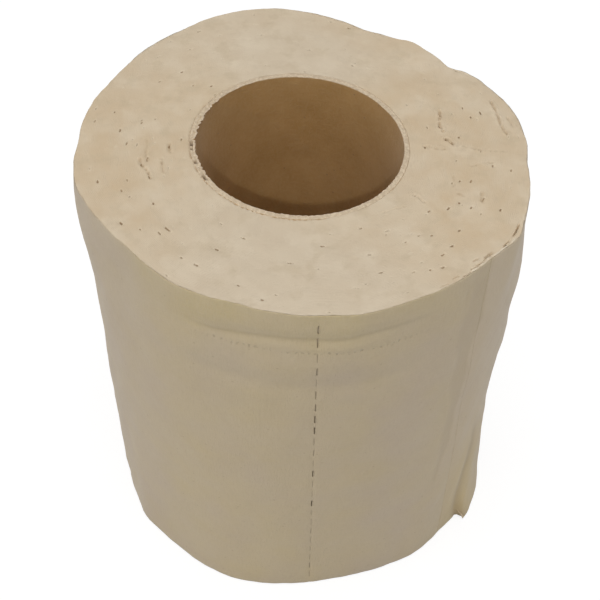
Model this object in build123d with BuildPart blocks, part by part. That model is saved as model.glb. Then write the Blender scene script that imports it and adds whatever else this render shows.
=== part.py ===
"""Toilet paper roll standing on one end: a perforated sheet wound on a cardboard core.

The frame has its origin at the centre of the core's bore, on the surface the roll stands on.
+Z runs up the core. Directions are in degrees, counter-clockwise seen from above, and the front
of the roll faces -Y (-90 degrees). The soft roll is squashed out of round, a little differently
at its two ends. Its last sheet ends in a free edge at the front right, with one corner loose.
"""
import os
from math import cos, degrees, exp, pi, radians, sin

from build123d import *

# Sheet and core, in millimetres
SHEET_WIDTH = 100.0
SHEET_LENGTH = 127.0
CORE_BORE_RADIUS = 21.5
CORE_WALL = 1.2
CORE_FIT = 0.1

# Outline of the wound paper: mean radius at the top end, and how much wider the base end is
ROLL_RADIUS = 46.2
BASE_FLARE = 0.5

# Squash of the outline: number of crests, their height at the top and at the base, and the
# direction of one crest
WAVES = (
    (1, 1.3, 1.4, -88.0),
    (2, 1.9, 1.4, -47.0),
    (3, 0.8, 1.5, -11.0),
    (4, 0.9, 0.4, 15.0),
    (5, 0.4, 0.4, 31.0),
)

# Soft lumps and dents on the side: height, then level above the base and reach up and down,
# then direction and the angle it reaches to each side. The slack turns bulge on the right and
# end in a notch behind, and the left shoulder stands out a little.
LUMPS = (
    (1.3, 78.0, 14.0, -12.0, 22.0),
    (-1.3, 100.0, 25.0, 38.0, 5.0),
    (0.8, 90.0, 10.0, -165.0, 20.0),
)

# Free edge of the last sheet, which stands proud of the turn below
EDGE_DIRECTION = -41.8
EDGE_STEP = 0.6

# Loose ply at the foot of the last sheet: it stands off the roll most at the base
FLAP_HEIGHT = 45.0
FLAP_BASE_DIRECTION = -34.5
FLAP_TOP_DIRECTION = -30.5
FLAP_BASE_ANGLE = 26.0
FLAP_TOP_ANGLE = 6.0
FLAP_LIFT = 2.3
FLAP_THICKNESS = 0.5

# Turns, shown on both ends by one spiral line that starts at the foot of the free edge
TURNS = 8
TURN_LINE_WIDTH = 0.35
TURN_LINE_DEPTH = 0.5
INNERMOST_WALL = 1.2

# Gap between two slack turns in the top end, beside the free edge
SLACK_GAP_WIDTH = 0.7
SLACK_GAP_DEPTH = 2.5
SLACK_GAP_COVER = 1.7
SLACK_GAP_START = -44.0
SLACK_GAP_END = -12.0

# Perforation: a row of slits up the side between two sheets
PERFORATION_DIRECTION = -85.0
SLIT_PITCH = 4.0
SLIT_LENGTH = 2.6
SLIT_WIDTH = 0.45
SLIT_DEPTH = 0.5
SLIT_END_MARGIN = 2.2

# Every curve of the paper runs in short chords: under 0.1 mm from the true curve, and light
CHORDS_PER_TURN = 48
CHORDS_PER_SHORT_CURVE = 6
SECTION_SHARES = (0.0, 0.3, 0.55, 0.78, 1.0)
LINE_OVERRUN_ANGLE = 0.5

# Worked out from the sizes above
PAPER_BORE_RADIUS = CORE_BORE_RADIUS + CORE_WALL + CORE_FIT
MEAN_WEB = ROLL_RADIUS - PAPER_BORE_RADIUS
TURN_PITCH = (MEAN_WEB - EDGE_STEP - INNERMOST_WALL) / TURNS


def point_at(radius, direction):
    """Point in a level section, from its radius and direction."""
    return (radius * cos(radians(direction)), radius * sin(radians(direction)))


def lump(direction, level, height, lump_level, reach, lump_direction, angle):
    """How far one soft lump moves the side out at a direction and a level."""
    off_level = (level - lump_level) / reach
    off_direction = (direction - lump_direction + 180) % 360 - 180
    return height * exp(-(off_level**2) - (off_direction / angle) ** 2)


def squashed_radius(direction, level):
    """Radius of the squashed roll, leaving out the step at the free edge."""
    share = level / SHEET_WIDTH
    radius = ROLL_RADIUS + BASE_FLARE * (1 - share)
    for crests, top_height, base_height, crest_direction in WAVES:
        height = base_height + (top_height - base_height) * share
        radius += height * cos(radians(crests * (direction - crest_direction)))
    return radius + sum(lump(direction, level, *sizes) for sizes in LUMPS)


def surface_radius(direction, level):
    """Radius of the outermost layer, which falls by the step over one turn from the free edge."""
    turn_share = ((direction - EDGE_DIRECTION) % 360) / 360
    return squashed_radius(direction, level) - EDGE_STEP * turn_share


def outline(level):
    """One turn of the outermost layer, from the free edge round to the foot of its step."""
    points = []
    for index in range(CHORDS_PER_TURN + 1):
        share = index / CHORDS_PER_TURN
        direction = EDGE_DIRECTION + 360 * share
        points.append(point_at(squashed_radius(direction, level) - EDGE_STEP * share, direction))
    return points


def turn_line(level, offset):
    """The spiral line between the turns, moved outwards by an offset."""
    points = []
    for index in range(TURNS * CHORDS_PER_TURN + 1):
        overrun = LINE_OVERRUN_ANGLE if index == 0 else 0
        turns = index / CHORDS_PER_TURN
        direction = EDGE_DIRECTION + 360 * turns - overrun
        depth_share = (EDGE_STEP + TURN_PITCH * turns) / MEAN_WEB
        web = squashed_radius(direction, level) - PAPER_BORE_RADIUS
        radius = PAPER_BORE_RADIUS + web * (1 - depth_share)
        points.append(point_at(radius + offset, direction))
    return points


def arc_points(start, end, radius_at):
    """Points of a short curve between two directions, with a radius from a function."""
    points = []
    for index in range(CHORDS_PER_SHORT_CURVE + 1):
        share = index / CHORDS_PER_SHORT_CURVE
        direction = start + (end - start) * share
        points.append(point_at(radius_at(direction, share), direction))
    return points


def flap_points(level, inset):
    """The loose ply in a level section, from its root to its free edge."""
    height_share = level / FLAP_HEIGHT
    edge = FLAP_BASE_DIRECTION + (FLAP_TOP_DIRECTION - FLAP_BASE_DIRECTION) * height_share
    angle = FLAP_BASE_ANGLE + (FLAP_TOP_ANGLE - FLAP_BASE_ANGLE) * height_share

    def radius_at(direction, share):
        lift = FLAP_LIFT * (1 - height_share) * sin(share * pi / 2) ** 2
        return squashed_radius(direction, level) + lift - inset
    return arc_points(edge + angle, edge, radius_at)


def slack_gap_points(side):
    """One side of the gap between two slack turns, seen from above."""
    def radius_at(direction, share):
        half_width = SLACK_GAP_WIDTH / 2 * sin(share * pi)
        return squashed_radius(direction, SHEET_WIDTH) - SLACK_GAP_COVER + side * half_width
    return arc_points(SLACK_GAP_START, SLACK_GAP_END, radius_at)


def slit_places():
    """Centres of the slits, on the surface, for the last two perforations."""
    clear_height = SHEET_WIDTH - 2 * SLIT_END_MARGIN - SLIT_LENGTH
    count = int(clear_height / SLIT_PITCH) + 1
    lowest = (SHEET_WIDTH - (count - 1) * SLIT_PITCH) / 2
    one_sheet = degrees(SHEET_LENGTH / ROLL_RADIUS)
    places = []
    for direction in (PERFORATION_DIRECTION, PERFORATION_DIRECTION - one_sheet):
        for index in range(count):
            level = lowest + index * SLIT_PITCH
            x, y = point_at(surface_radius(direction, level), direction)
            places.append(Location((x, y, level), (0, 0, direction)))
    return places


# Wound paper
with BuildPart() as paper_roll:
    # the squashed body, one closed outline at each level
    for share in SECTION_SHARES:
        level = share * SHEET_WIDTH
        with BuildSketch(Plane.XY.offset(level)):
            with BuildLine():
                layer = Polyline(*outline(level))
                Line(layer @ 1, layer @ 0)
            make_face()
    loft(ruled=True)

    # the loose ply at the foot of the last sheet
    for level in (0.0, FLAP_HEIGHT / 2, FLAP_HEIGHT):
        with BuildSketch(Plane.XY.offset(level)):
            with BuildLine():
                outer_face = Polyline(*flap_points(level, 0))
                inner_face = Polyline(*flap_points(level, FLAP_THICKNESS))
                Line(outer_face @ 0, inner_face @ 0)
                Line(outer_face @ 1, inner_face @ 1)
            make_face()
    loft(ruled=True)

    # the bore that the first turn leaves round the core
    with BuildSketch():
        Circle(PAPER_BORE_RADIUS)
    extrude(amount=SHEET_WIDTH, mode=Mode.SUBTRACT)

    # the line between the turns on both ends
    for level, depth in ((0.0, TURN_LINE_DEPTH), (SHEET_WIDTH, -TURN_LINE_DEPTH)):
        with BuildSketch(Plane.XY.offset(level)):
            with BuildLine():
                outer_side = Polyline(*turn_line(level, TURN_LINE_WIDTH / 2))
                inner_side = Polyline(*turn_line(level, -TURN_LINE_WIDTH / 2))
                Line(outer_side @ 0, inner_side @ 0)
                Line(outer_side @ 1, inner_side @ 1)
            make_face()
        extrude(amount=depth, mode=Mode.SUBTRACT)

    # the gap between two slack turns
    with BuildSketch(Plane.XY.offset(SHEET_WIDTH)):
        with BuildLine():
            Polyline(*slack_gap_points(1))
            Polyline(*slack_gap_points(-1))
        make_face()
    extrude(amount=-SLACK_GAP_DEPTH, mode=Mode.SUBTRACT)

    # the perforations
    with Locations(*slit_places()):
        Box(2 * SLIT_DEPTH, SLIT_WIDTH, SLIT_LENGTH, mode=Mode.SUBTRACT)

# Cardboard core, sawn off flush with the paper
with BuildPart() as cardboard_core:
    with BuildSketch():
        Circle(CORE_BORE_RADIUS + CORE_WALL)
        Circle(CORE_BORE_RADIUS, mode=Mode.SUBTRACT)
    extrude(amount=SHEET_WIDTH)

paper_roll.part.label = "paper_roll"
cardboard_core.part.label = "cardboard_core"

os.makedirs("parts", exist_ok=True)
export_step(paper_roll.part, "parts/paper_roll.step")
export_step(cardboard_core.part, "parts/cardboard_core.step")
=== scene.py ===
# %% [markdown]
# # A toilet paper roll
# The imported CAD model holds the real sizes: a squashed roll of paper and the cardboard core in
# it. This script puts softer, finer pieces in the same places. The first step loads that fixed
# frame.

# %% Load the frame
from math import cos, pi, radians, sin

import bpy
import numpy as np
from mathutils import Matrix, Vector


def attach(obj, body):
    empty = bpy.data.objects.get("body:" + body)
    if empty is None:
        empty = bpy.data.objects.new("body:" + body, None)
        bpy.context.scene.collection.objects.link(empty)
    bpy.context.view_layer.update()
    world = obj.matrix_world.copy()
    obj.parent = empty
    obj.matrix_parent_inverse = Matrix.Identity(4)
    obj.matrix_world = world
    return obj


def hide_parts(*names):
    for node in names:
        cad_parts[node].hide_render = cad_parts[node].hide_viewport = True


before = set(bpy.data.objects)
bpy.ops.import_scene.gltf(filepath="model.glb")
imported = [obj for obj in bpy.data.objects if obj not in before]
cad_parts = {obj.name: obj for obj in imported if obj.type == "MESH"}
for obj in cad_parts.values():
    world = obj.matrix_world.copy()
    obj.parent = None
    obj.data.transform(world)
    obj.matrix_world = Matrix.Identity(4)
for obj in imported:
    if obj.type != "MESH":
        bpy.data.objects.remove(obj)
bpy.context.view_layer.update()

# %% [markdown]
# ## Camera
# The picture looks down at the front of the roll from close by, so the top looks large and the
# sides draw together towards the base. The camera's place and pitch were worked out from the
# round hole and the roll's outline. It leans one degree to the side, as a hand-held camera does.

# %% Camera
CAMERA_PLACE = (0.0007, -0.1811, 0.2555)
CAMERA_PITCH = 48.49
CAMERA_ROLL = 1.0
CAMERA_LENS = 69
CAMERA_SENSOR = 36

pitch, roll = radians(CAMERA_PITCH), radians(CAMERA_ROLL)
level_right = Vector((1, 0, 0))
level_up = Vector((0, sin(pitch), cos(pitch)))
forward = Vector((0, cos(pitch), -sin(pitch)))
camera_right = cos(roll) * level_right + sin(roll) * level_up
camera_up = cos(roll) * level_up - sin(roll) * level_right

camera_data = bpy.data.cameras.new("camera")
camera_data.sensor_width = CAMERA_SENSOR
camera_data.lens = CAMERA_LENS
camera = bpy.data.objects.new("camera", camera_data)
camera.matrix_world = Matrix.Translation(CAMERA_PLACE) @ Matrix(
    (camera_right, camera_up, -forward)).transposed().to_4x4()
bpy.context.scene.collection.objects.link(camera)
bpy.context.scene.camera = camera
bpy.context.scene.view_settings.view_transform = "Standard"
print("camera looks along", [round(value, 3) for value in forward])

# %% [markdown]
# ## Nodes
# A world or a material in Blender is a tree of nodes, and every node is made in the same way: it
# gets its settings, and then each input gets a link or a plain value. One helper does that here,
# so the later steps only have to say what feeds what.

# %% Helpers for nodes
def feed(tree, node, inputs):
    """Links or sets a node's inputs: each value is a socket, a number or a few numbers."""
    for name, value in inputs.items():
        socket = node.inputs[name]
        if isinstance(value, bpy.types.NodeSocket):
            tree.links.new(value, socket)
        else:
            socket.default_value = (*value, 1) if socket.type == "RGBA" else value


def new_node(tree, kind, inputs=None, **settings):
    """A new node of a kind, with its settings and its inputs."""
    node = tree.nodes.new(kind)
    for name, value in settings.items():
        setattr(node, name, value)
    feed(tree, node, inputs or {})
    return node


def math_node(tree, operation, *values):
    """The result of a Math node on sockets or plain numbers."""
    return new_node(tree, "ShaderNodeMath", dict(enumerate(values)), operation=operation).outputs[0]


def ramp_node(tree, value, low, high, to_low=0.0, to_high=1.0):
    """A Map Range node: clamps, and turns one span of numbers into another."""
    return new_node(tree, "ShaderNodeMapRange", {
        "Value": value, "From Min": low, "From Max": high, "To Min": to_low, "To Max": to_high,
    }).outputs["Result"]


def seen_straight(tree):
    """Gives 1 on what the camera sees straight, in a mirror or through glass."""
    light_path = new_node(tree, "ShaderNodeLightPath")
    seen = light_path.outputs["Is Camera Ray"]
    for output in ("Is Glossy Ray", "Is Transmission Ray"):
        seen = math_node(tree, "MAXIMUM", seen, light_path.outputs[output])
    return seen


print("node helpers are ready")

# %% [markdown]
# ## Light
# The paper is lit softly from all round, most of all from above: the top end is about half as
# bright again as the side. One lamp in front, about 42 degrees up, reaches down the far wall of
# the core and stops where the near rim shades it; it is small, so that shade has a clear edge.
# The other lamps are large and soft, and the one on the left is stronger than the one opposite.
# The world is plain white for the camera, and dimmer where it only lights the paper.

# %% World and lamps
WHITE = (1, 1, 1)
WORLD_LIGHT = 0.31
LAMP_TARGET = Vector((0, 0, 0.06))

world = bpy.data.worlds.new("studio")
bpy.context.scene.world = world
world.use_nodes = True
tree = world.node_tree
feed(tree, tree.nodes["Background"], {
    "Color": WHITE,
    "Strength": ramp_node(tree, seen_straight(tree), 0.0, 1.0, WORLD_LIGHT, 1.0),
})


def area_lamp(name, direction, elevation, distance, size, power):
    """A square lamp that faces a point inside the roll, from a distance in metres."""
    data = bpy.data.lights.new(name, "AREA")
    data.size = size
    data.energy = power
    lamp = bpy.data.objects.new(name, data)
    back = Vector((
        cos(radians(elevation)) * cos(radians(direction)),
        cos(radians(elevation)) * sin(radians(direction)),
        sin(radians(elevation)),
    ))
    lamp.location = LAMP_TARGET + back * distance
    lamp.rotation_mode = "QUATERNION"
    lamp.rotation_quaternion = (-back).to_track_quat("-Z", "Y")
    bpy.context.scene.collection.objects.link(lamp)
    return lamp


area_lamp("front_lamp", -92.0, 42, 1.6, 0.035, 3.6)
area_lamp("overhead_lamp", -102, 84, 1.2, 1.3, 7.7)
area_lamp("left_lamp", 195, 12, 1.4, 0.6, 2.2)
area_lamp("right_lamp", 0, 12, 1.4, 0.6, 0.95)

# %% [markdown]
# ## Floor
# A plain pale sheet of board would do as a floor. It is a flat plane with a material of two
# parts: a matte surface that throws light back on the side, and for the camera a plain white
# glow with a thinner matte share on top, so that the floor looks white and only the roll's soft
# shadow takes a little of it away.

# %% Floor
FLOOR_HALF_SIDE = 3.0
FLOOR_LEVEL = -0.0002
FLOOR_GLOW = 0.80
FLOOR_BOARD = (0.6, 0.6, 0.6)
FLOOR_SHADOW_SHARE = (0.3, 0.3, 0.3)

floor_mesh = bpy.data.meshes.new("floor")
floor_corners = [
    (x * FLOOR_HALF_SIDE, y * FLOOR_HALF_SIDE, FLOOR_LEVEL)
    for x, y in ((-1, -1), (1, -1), (1, 1), (-1, 1))
]
floor_mesh.from_pydata(floor_corners, [], [(0, 1, 2, 3)])
floor = bpy.data.objects.new("floor", floor_mesh)
bpy.context.scene.collection.objects.link(floor)
floor_finish = bpy.data.materials.new("floor_board")
floor_finish.use_nodes = True
tree = floor_finish.node_tree
tree.nodes.clear()
matte = new_node(tree, "ShaderNodeBsdfDiffuse", {"Color": FLOOR_BOARD})
shadow_catcher = new_node(tree, "ShaderNodeBsdfDiffuse", {"Color": FLOOR_SHADOW_SHARE})
glow = new_node(tree, "ShaderNodeEmission", {"Strength": FLOOR_GLOW})
seen = new_node(tree, "ShaderNodeAddShader", {0: glow.outputs[0], 1: shadow_catcher.outputs[0]})
blend = new_node(tree, "ShaderNodeMixShader", {
    0: seen_straight(tree), 1: matte.outputs[0], 2: seen.outputs[0]})
new_node(tree, "ShaderNodeOutputMaterial", {"Surface": blend.outputs[0]})
floor.data.materials.append(floor_finish)
print("floor", round(2 * FLOOR_HALF_SIDE, 1), "m across")

# %% [markdown]
# ## The roll's shape
# Every piece of paper follows one surface, so its formula comes first. It repeats the CAD
# outline: a mean radius, a few waves round the roll that are a little different at its two ends,
# and broad soft lumps. The radius falls by one step over the last turn, from the free edge round
# to the turn beneath it. Lengths are in millimetres until a mesh is made, and directions are in
# degrees, counter-clockwise seen from above, with the front at -90.

# %% Surface of the roll
SHEET_WIDTH = 100.0
CORE_BORE_RADIUS = 21.5
CORE_WALL = 1.2
PAPER_BORE_RADIUS = 22.8
ROLL_RADIUS = 46.2
BASE_FLARE = 0.5
EDGE_DIRECTION = -41.8

# number of crests, their height at the top and at the base, and the direction of one crest
WAVES = (
    (1, 1.3, 1.4, -88.0),
    (2, 1.9, 1.4, -47.0),
    (3, 0.8, 1.5, -11.0),
    (4, 0.9, 0.4, 15.0),
    (5, 0.4, 0.4, 31.0),
)

# height, level, reach up and down, direction, and the angle reached to each side
BROAD_LUMPS = (
    (1.3, 78.0, 14.0, -12.0, 22.0),
    (-1.3, 100.0, 25.0, 38.0, 5.0),
    (0.8, 90.0, 10.0, -165.0, 20.0),
)


def turned(direction, start):
    """Angle from one direction to another, from 0 up to 360 degrees."""
    return (direction - start) % 360


def off(direction, middle):
    """Angle to one side or the other of a direction, from -180 to 180 degrees."""
    return (direction - middle + 180) % 360 - 180


def lump(direction, level, height, lump_level, reach, lump_direction, angle):
    """How far one soft lump moves the side out at a direction and a level."""
    return height * np.exp(
        -((level - lump_level) / reach) ** 2 - (off(direction, lump_direction) / angle) ** 2)


def squashed_radius(direction, level):
    """Radius of the squashed roll, leaving out the step at the free edge."""
    share = level / SHEET_WIDTH
    radius = ROLL_RADIUS + BASE_FLARE * (1 - share)
    for crests, top_height, base_height, crest_direction in WAVES:
        height = base_height + (top_height - base_height) * share
        radius = radius + height * np.cos(np.radians(crests * (direction - crest_direction)))
    for sizes in BROAD_LUMPS:
        radius = radius + lump(direction, level, *sizes)
    return radius


print("radius at the front, base and top:", squashed_radius(-90.0, np.array((0.0, 100.0))).round(1))

# %% [markdown]
# A hand presses a soft roll into many small lumps and dents as well. Those that show in the
# outline are given one by one, each with a height, a level, a reach up and down, a direction and
# an angle. The rest come from a sum of slow waves with seeded phases. Noise made of waves that
# close on themselves after a full turn leaves no seam, and it needs no texture. The same waves,
# with the level left out, make a cut edge uneven.

# %% Small lumps and slow waves
SMALL_LUMPS = (
    (-0.5, 100, 40, -178, 6), (0.4, 100, 25, -163, 6), (-0.6, 100, 30, -138, 7),
    (0.5, 100, 30, -120, 5), (-0.3, 100, 25, -104, 5), (0.35, 100, 30, -77, 6),
    (-0.4, 100, 25, -62, 6), (0.5, 100, 30, -37, 7), (0.4, 100, 15, -24, 4),
    (-0.6, 100, 10, -6, 6), (0.4, 100, 30, 14, 6), (0.6, 100, 12, 34.5, 2.2),
    (0.9, 100, 35, 54, 5), (-0.5, 100, 30, 70, 6), (0.25, 100, 30, 97, 9),
    (-0.65, 100, 25, 122, 5), (0.3, 100, 30, 139, 6), (0.2, 100, 30, 153, 6),
    (-0.3, 0, 30, -160, 5), (0.6, 0, 30, -142, 5), (-0.25, 0, 30, -129, 6),
    (0.4, 0, 30, -109, 8), (-0.3, 0, 30, -81, 8), (0.2, 0, 25, -49, 5),
    (0.9, 57, 8, -14, 10), (-0.35, 34, 14, -14, 12), (0.6, 2, 10, -14, 9),
    (0.4, 77, 5, -14, 10), (-0.3, 58, 16, -166, 12),
    (0.55, 0, 16, -97, 11), (0.5, 0, 16, -50, 7), (0.1, 0, 14, -138, 8), (-0.1, 0, 14, -115, 6),
    (1.5, 100, 16, -31.6, 5.3), (0.3, 100, 14, -43, 7), (0.3, 100, 20, 6, 16), (0.4, 100, 15, 29, 5),
    (0.35, 100, 25, 52, 10), (0.35, 100, 25, 81, 8), (0.3, 100, 20, 142, 4), (0.35, 100, 20, 163, 5),
    (0.25, 100, 20, 120, 5), (0.3, 100, 20, 18, 3), (0.3, 100, 20, 30, 2.5), (0.3, 100, 20, 61, 8),
    (0.15, 100, 20, 166, 6), (-0.15, 100, 20, 178, 5), (0.2, 100, 20, -18, 6),
)


def slow_waves(direction, level, seed, crests, spacing, count=14):
    """Noise of about -1 to 1 that closes round the roll.

    It has so many crests round the roll at most, and so many mm between those above each other
    at least.
    """
    chance = np.random.default_rng(seed)
    total = 0
    for _ in range(count):
        turn = chance.integers(1, crests + 1)
        rise = chance.uniform(-1, 1) / spacing
        phase = chance.uniform(0, 2 * pi)
        total = total + np.cos(np.radians(turn * direction) + 2 * pi * rise * level + phase)
    return total / count ** 0.5


def edge_waves(direction, seed, crests, count):
    """Unevenness along a cut edge: waves that change only round the roll."""
    return slow_waves(direction, 0, seed, crests, 1, count)


def paper_radius(direction, level):
    """The squashed roll with its small lumps, still without the step."""
    radius = squashed_radius(direction, level)
    for sizes in SMALL_LUMPS:
        radius = radius + lump(direction, level, *sizes)
    return radius + 0.10 * slow_waves(direction, level, 3, 14, 45)


def oval(direction):
    """How far the core and the paper's bore are pressed out of round."""
    return 0.45 * np.cos(np.radians(2 * (direction + 46)))


print(len(SMALL_LUMPS), "small lumps, up to", max(abs(s[0]) for s in SMALL_LUMPS), "mm high")

# %% [markdown]
# ## From points to a mesh
# A rolled sheet is a grid that has been bent, so most pieces here are grids. The helper takes
# points in millimetres and faces by their numbers, gives metres to Blender, and can store a
# value at each point, such as a stain, for the material to read later as an attribute. A second
# helper joins a grid of numbers into faces, and a third closes a grid into a loop.

# %% Mesh helpers
MM = 0.001


def make_piece(name, points, faces, values):
    """A mesh object from points in millimetres, with named values stored at its points."""
    mesh = bpy.data.meshes.new(name)
    mesh.from_pydata((np.asarray(points, float) * MM).tolist(), [], faces)
    mesh.polygons.foreach_set("use_smooth", [True] * len(mesh.polygons))
    for value_name, numbers in values.items():
        numbers = np.asarray(numbers, np.float32)
        kind = "FLOAT_VECTOR" if numbers.ndim == 2 else "FLOAT"
        layer = mesh.attributes.new(value_name, kind, "POINT")
        layer.data.foreach_set("vector" if numbers.ndim == 2 else "value", numbers.ravel())
    mesh.update()
    piece = bpy.data.objects.new(name, mesh)
    bpy.context.scene.collection.objects.link(piece)
    print(name, len(points), "points", len(faces), "faces")
    return piece


def smooth_step(value, start, end):
    """0 before start, 1 after end, and a soft rise between them."""
    share = np.clip((value - start) / (end - start), 0, 1)
    return share * share * (3 - 2 * share)


def dip(value, middle, half_width):
    """1 at the middle, falling softly to nothing about a half width away."""
    return np.exp(-((value - middle) / half_width) ** 2)


def point_numbers(row_count, column_count):
    """The numbers of a grid's points, row after row."""
    return np.arange(row_count * column_count).reshape(row_count, column_count)


def closed(numbers):
    """A grid of numbers whose last row is its first row again."""
    return np.concatenate((numbers, numbers[:1]))


def grid_faces(left, right=None):
    """Faces of a grid of numbers; where a column is doubled, right holds its other side."""
    right = left if right is None else right
    corners = (right[:-1, :-1], left[:-1, 1:], left[1:, 1:], right[1:, :-1])
    return np.stack(corners, -1).reshape(-1, 4).tolist()


print("mesh helpers are ready")

# %% [markdown]
# ## Last sheet: columns and rows
# The last turn is modelled as a real sheet, because its free edge, its thickness and its cut
# slits show. The grid is not even: columns and rows are close where the paper has an edge, a
# slit or a crease and wide apart elsewhere, which keeps the mesh light. Rows fall on the ends of
# the slits, so that a slit can open between two of them.

# %% Columns and rows of the last sheet
TUCK_ANGLE = 8.0
PERFORATION_DIRECTION = -85.0
FLAT_SHEET_LENGTH = 127.0
HIDDEN_PERFORATION_DIRECTION = PERFORATION_DIRECTION - FLAT_SHEET_LENGTH / ROLL_RADIUS * 180 / pi
SLIT_PITCH = 4.0
SLIT_LENGTH = 2.6
SLIT_COUNT = 24
WIDE_STEP = 1.9

perforation_turn = turned(PERFORATION_DIRECTION, EDGE_DIRECTION)
hidden_turn = turned(HIDDEN_PERFORATION_DIRECTION, EDGE_DIRECTION)
# turn from the free edge, angle to each side of it, and step between the columns there
CLOSE_PLACES = (
    (0, 3, 0.4), (perforation_turn, 2.2, 0.3), (hidden_turn, 1.2, 0.3), (79.8, 9, 0.9),
    (355, 5, 0.6), (9, 8, 0.42), (20, 20, 0.9), (310, 44, 1.2), (360, 3, 0.6),
)
SLIT_PARTS = (-0.5, -0.40, 0.0, 0.40, 0.5)
FOOT_ROWS = [0.0, 0.35, 1.1]
CREASE_ROWS = [91.4, 91.75, 92.35, 92.7]
RIM_ROWS = [98.2, 99.1, 99.6, 99.9]


def column_step(turn):
    """Angle to the next column at an angle of turn from the free edge."""
    steps = [step for middle, half, step in CLOSE_PLACES if abs(turn - middle) <= half]
    return min([WIDE_STEP] + steps)


columns = [0.0]
while columns[-1] < 360 + TUCK_ANGLE:
    columns.append(columns[-1] + column_step(columns[-1]))
columns = np.array(columns)
for exact_turn in (perforation_turn, hidden_turn):
    columns[np.abs(columns - exact_turn).argmin()] = exact_turn

slit_middles = SHEET_WIDTH / 2 + SLIT_PITCH * (np.arange(SLIT_COUNT) - (SLIT_COUNT - 1) / 2)
rows = FOOT_ROWS + CREASE_ROWS + RIM_ROWS
for middle in slit_middles:
    rows += [middle + part * SLIT_LENGTH for part in SLIT_PARTS]
    rows.append(middle + SLIT_PITCH / 2)
# the row above the last slit would crowd those at the rim
rows = np.array(sorted(row for row in rows if row < 99.95 and abs(row - 98.0) > 0.05))
print(len(columns), "columns and", len(rows), "rows")

# %% [markdown]
# ## Last sheet: relief
# Small forms lie on the sheet: a crease under the rim where it was pressed, a groove from the
# row of dots that joins the plies, a soft fold lower down, and a furrow along the cut slits. A
# band beside the free edge sits a little lower, and to the right of the edge the sheet's foot
# puckers off the roll behind a soft valley. All of this is real height in the mesh. The crepe,
# finer than the grid, is left to the material, which also paints shade along the crease, in the
# valley and in the dent.

# %% Relief of the last sheet
BAND_DIRECTION = -48.0
DOT_ROW_LEVEL = 89.3
PUCKER_HEIGHT = 44.0

# lines up the sheet, as levels and directions: where the sheet starts, and the pucker's valley
START_LINE = (
    (20.0, -49.0), (31.0, -47.2), (44.0, -44.6), (59.0, -43.4), (74.0, -42.8), (83.0, -41.2),
    (95.0, -41.2),
)
VALLEY = (
    (0.0, -33.2), (3.0, -34.3), (7.0, -34.8), (10.0, -34.2), (14.0, -33.6), (20.0, -31.8),
    (25.0, -30.6), (31.0, -29.8), (38.0, -30.6), (44.0, -31.0),
)


def line_direction(line, level):
    """Direction of a line up the sheet at a level."""
    return np.interp(level, *zip(*line))


def start_share(direction, level):
    """How far a point is on the start of the sheet: 1 to the right of a soft, slanting line."""
    wander = 0.25 * np.sin(level / 3.1) + 0.15 * np.sin(level / 1.3 + 1.0)
    return smooth_step(off(direction, line_direction(START_LINE, level) + wander), -0.5, 0.7)


def band_share(direction, level):
    """How much of the darker band shows: soft and uneven on its left, gone near the base."""
    wander = 0.9 * np.sin(level / 7.0) + 0.6 * np.sin(level / 2.9 + 1.0)
    left = smooth_step(off(direction, BAND_DIRECTION + wander), -0.8, 1.4)
    right = 1 - start_share(direction, level)
    return left * right * smooth_step(level, 22, 36) * (1 - 0.6 * smooth_step(level, 93, 99))


def crease_level(direction):
    """Level of the crease under the rim."""
    return 92.0 + 0.05 * (direction + 105) + 0.3 * np.sin(direction / 4)


def tail_dent(direction, level, half_width):
    """A short upright dent in the darker band, under the rim."""
    return dip(direction, BAND_DIRECTION - 0.1, half_width) * dip(level, 92.5, 3.6)


def sheet_relief(direction, level):
    """Height of the sheet's own small forms, in millimetres."""
    front = dip(direction, -93, 26)
    crease = crease_level(direction)
    crease_share = smooth_step(direction, -124, -104) * (1 - smooth_step(direction, -80, -62))
    fold_level = 78.8 + 0.5 * np.sin(direction / 11)
    fold_share = smooth_step(direction, -140, -100) * (1 - smooth_step(direction, -72, -54))
    # the crease, with a low ridge beneath it and one between it and the rim
    relief = -0.38 * dip(level, crease, 1.5) * crease_share
    relief += 0.10 * dip(level, crease - 2.6, 1.5) * crease_share
    relief += 0.16 * dip(level, 96.2, 2.2) * front
    # the groove of the ply dots, and the fold with the broad ridge above it
    relief += -0.09 * dip(level, DOT_ROW_LEVEL, 0.5) * dip(direction, -86, 30)
    relief += -0.28 * dip(level, fold_level, 2.3) * fold_share
    relief += 0.26 * dip(level, 85.2, 3.2) * front
    # the furrow along the slits, and the darker band with its dent
    relief += -0.10 * dip(direction, PERFORATION_DIRECTION, 0.9)
    relief += -0.10 * band_share(direction, level)
    relief += -0.16 * tail_dent(direction, level, 0.35)
    # broad and fine unevenness, and edges rounded by the saw
    relief += 0.10 * slow_waves(direction, level, 8, 36, 14)
    relief += 0.035 * slow_waves(direction, level, 9, 90, 5)
    relief += -0.08 * smooth_step(level, 99.2, 100.0) - 0.05 * (1 - smooth_step(level, 0, 0.9))
    return relief


def pucker(direction, level):
    """The loose foot of the sheet: how far it stands off, and the valley at its left side."""
    to_right = off(direction, line_direction(VALLEY, level))
    height_share = np.clip(level / PUCKER_HEIGHT, 0, 1)
    root = 26 - 20 * height_share
    share = 1 - np.clip(to_right / root, 0, 1)
    lift = (1.75 * np.exp(-level / 5.5) + 0.62 * (1 - height_share)) * np.sin(share * pi / 2) ** 2
    climb = 0.5 + 6.0 * smooth_step(level, 0, 13)
    lift = lift * smooth_step(to_right, 0, climb) * (level < PUCKER_HEIGHT)
    trough = dip(to_right, 0.2, 2.1) * (1 - smooth_step(level, 26, 43))
    return lift, trough


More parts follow.
